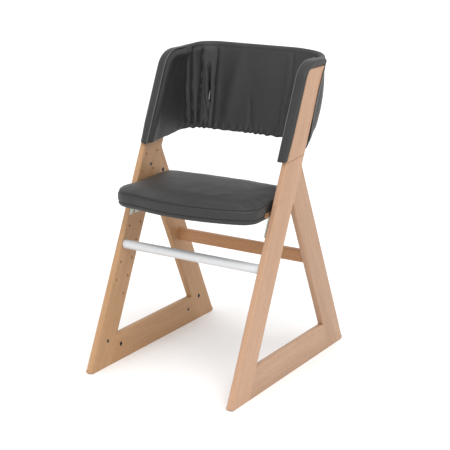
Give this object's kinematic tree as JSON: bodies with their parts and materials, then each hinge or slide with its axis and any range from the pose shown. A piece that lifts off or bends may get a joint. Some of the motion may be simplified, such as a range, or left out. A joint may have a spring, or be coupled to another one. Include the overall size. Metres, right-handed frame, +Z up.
{
  "type": "baby high chair",
  "caption": "Grow-along high chair with two A-shaped beech side frames, a padded U-shaped backrest, a cushioned seat and a round metal footrest.",
  "frame": {"origin": "middle of the floor footprint, on the floor", "axes": "+Z up, the chair faces -Y, +X is on the sitter's left"},
  "size_m": [0.456, 0.5937, 0.824],
  "materials": {
    "beech": "clear satin lacquer on beech",
    "plywood": "lacquered beech plywood",
    "steel": "zinc plated, semi bright",
    "dark_zinc": "dark blackened zinc",
    "leatherette": "matt anthracite leatherette with fine grain",
    "bracket_paint": "pale grey powder coat",
    "tube_aluminium": "satin anodised",
    "plug_plastic": "matt pale grey plastic"
  },
  "bodies": {
    "frame": {"front_leg_left": "beech", "front_leg_right": "beech", "rear_leg_left": "beech", "rear_leg_right": "beech", "runner_left": "beech", "runner_right": "beech", "cross_rail": "beech", "joint_studs": "steel", "joint_barrels": "steel", "joint_cams": "dark_zinc", "joint_dowels": "beech", "rail_studs": "steel", "rail_cams": "dark_zinc", "rail_dowels": "beech", "backrest_shell": "plywood", "backrest_cover": "leatherette", "backrest_screws": "steel", "backrest_inserts": "steel", "harness_bars": "steel", "seat_studs": "steel", "footrest_studs": "steel"},
    "seat": {"seat_board": "plywood", "seat_cushion": "leatherette", "seat_bracket_left": "bracket_paint", "seat_bracket_right": "bracket_paint", "bracket_screws": "steel"},
    "footrest": {"footrest_tube": "tube_aluminium", "footrest_plugs": "plug_plastic"}
  },
  "joints": [
    {"name": "seat_height", "type": "slide", "parent": "frame", "child": "seat", "axis": [0, 0.4204, 0.9073], "range_m": [0, 0.1]},
    {"name": "footrest_height", "type": "slide", "parent": "frame", "child": "footrest", "axis": [0, 0.4204, 0.9073], "range_m": [0, 0.05]}
  ]
}
